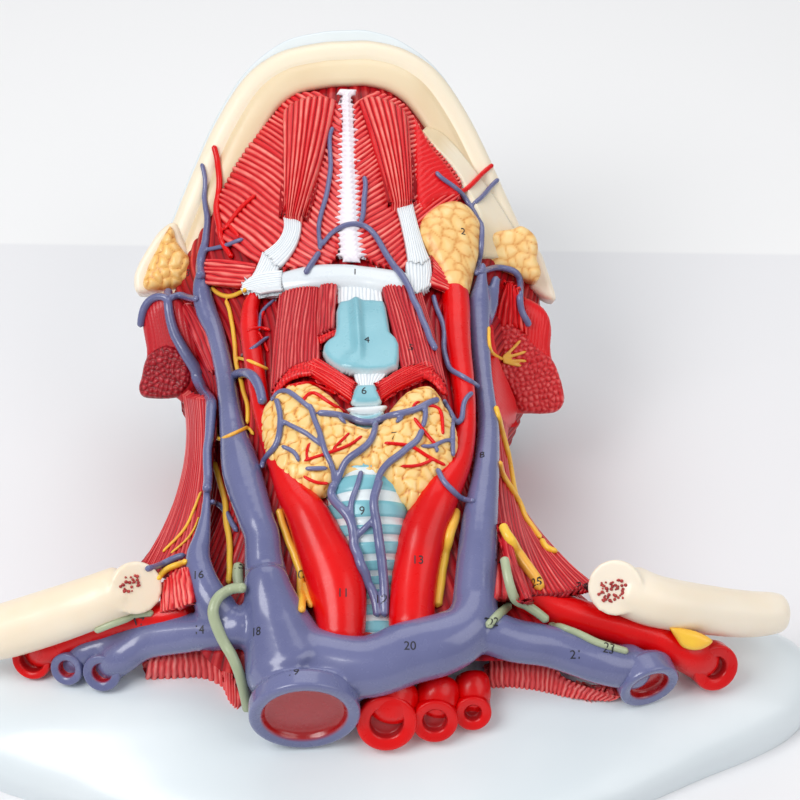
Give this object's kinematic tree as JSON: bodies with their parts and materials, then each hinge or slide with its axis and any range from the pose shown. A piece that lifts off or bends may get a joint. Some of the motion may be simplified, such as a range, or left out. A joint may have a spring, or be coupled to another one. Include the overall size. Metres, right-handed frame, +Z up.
{
  "type": "anatomical neck muscle model",
  "caption": "Teaching model of the front of the neck lying on its back: jaw arch, dissected muscles, great vessels, thyroid gland and windpipe on a domed shield base.",
  "frame": {"origin": "middle of the footprint, on the surface that the model rests on", "axes": "+X towards the left side of the neck that is shown, +Y from the chest towards the chin, +Z up from the table, out of the front of the neck"},
  "size_m": [0.2092, 0.2204, 0.0925],
  "materials": {
    "base": "satin pale blue paint",
    "bone": "satin cream paint",
    "vein": "glossy grey-blue paint",
    "artery": "glossy red paint",
    "muscle": "satin red paint over moulded fibres",
    "core": "dark red paint",
    "cartilage": "satin turquoise paint",
    "tendon": "satin white paint",
    "gland": "satin ochre paint over moulded lobules",
    "nerve": "satin yellow paint",
    "lymph": "satin grey-green paint"
  },
  "bodies": {
    "root": {"back_cover": "base", "base_shell": "base", "jaw_plate": "base", "mandible": "bone", "clavicle_right": "bone", "clavicle_left": "bone", "great_vein": "vein", "internal_jugular_left": "vein", "internal_jugular_right": "vein", "subclavian_vein_left": "vein", "subclavian_vein_right": "vein", "carotid_left": "artery", "carotid_right": "artery", "arch_artery_first": "artery", "arch_artery_second": "artery", "arch_artery_third": "artery", "subclavian_artery_left": "artery", "subclavian_artery_right": "artery", "trachea": "cartilage", "cricoid_cartilage": "cartilage", "hyoid_bone": "tendon", "thyroid_cartilage": "cartilage", "neck_core": "core", "thyrohyoid_membrane": "tendon", "cricothyroid_ligament": "tendon", "thyroid_gland": "gland", "submandibular_gland_left": "gland", "mylohyoid_right": "muscle", "mylohyoid_left": "muscle", "mylohyoid_raphe": "tendon", "digastric_right": "muscle", "digastric_left": "muscle", "digastric_tendon_right": "tendon", "digastric_tendon_left": "tendon", "sternohyoid_right": "muscle", "sternohyoid_left": "muscle", "cricothyroid_right": "muscle", "cricothyroid_left": "muscle", "side_muscle_right": "muscle", "side_muscle_left": "muscle", "sternomastoid_right": "muscle", "sternomastoid_left": "muscle", "parotid_gland_right": "gland", "parotid_gland_left": "gland", "intercostal_right": "muscle", "intercostal_left": "muscle", "external_jugular_right": "vein", "facial_vein_right": "vein", "facial_vein_left": "vein", "retromandibular_vein_left": "vein", "anterior_jugular_vein": "vein", "thyroid_veins": "vein", "facial_artery_right": "artery", "vagus_nerve_right": "nerve", "vagus_nerve_left": "nerve", "phrenic_nerve_right": "nerve", "ansa_nerve_right": "nerve", "brachial_nerve_left": "nerve", "lymph_duct_right": "lymph"}
  },
  "joints": []
}
